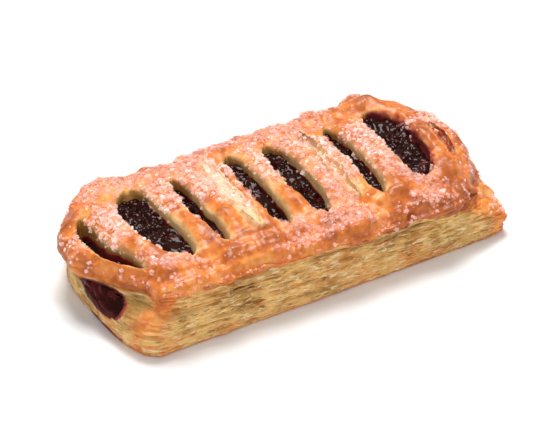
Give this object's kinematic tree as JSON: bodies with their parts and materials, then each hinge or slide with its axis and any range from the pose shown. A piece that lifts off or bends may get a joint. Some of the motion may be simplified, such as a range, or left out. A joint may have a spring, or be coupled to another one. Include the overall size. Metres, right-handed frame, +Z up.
{
  "type": "strudel",
  "caption": "Lattice-cut puff-pastry strudel slice with slits across its domed crust, a dark berry filling that shows through them, and coarse sugar on top.",
  "frame": {"origin": "middle of the base, on the surface that the slice rests on", "axes": "+X along the slice, with the end whose opening shows best at -X; +Y towards the back; +Z up"},
  "size_m": [0.1379, 0.0676, 0.0279],
  "materials": {
    "pastry": "egg-washed golden brown crust, pale flaky sides, coarse sugar crystals",
    "filling": "dark glossy berry filling, almost black with a reddish purple edge"
  },
  "bodies": {
    "root": {"pastry": "pastry", "filling": "filling"}
  },
  "joints": []
}
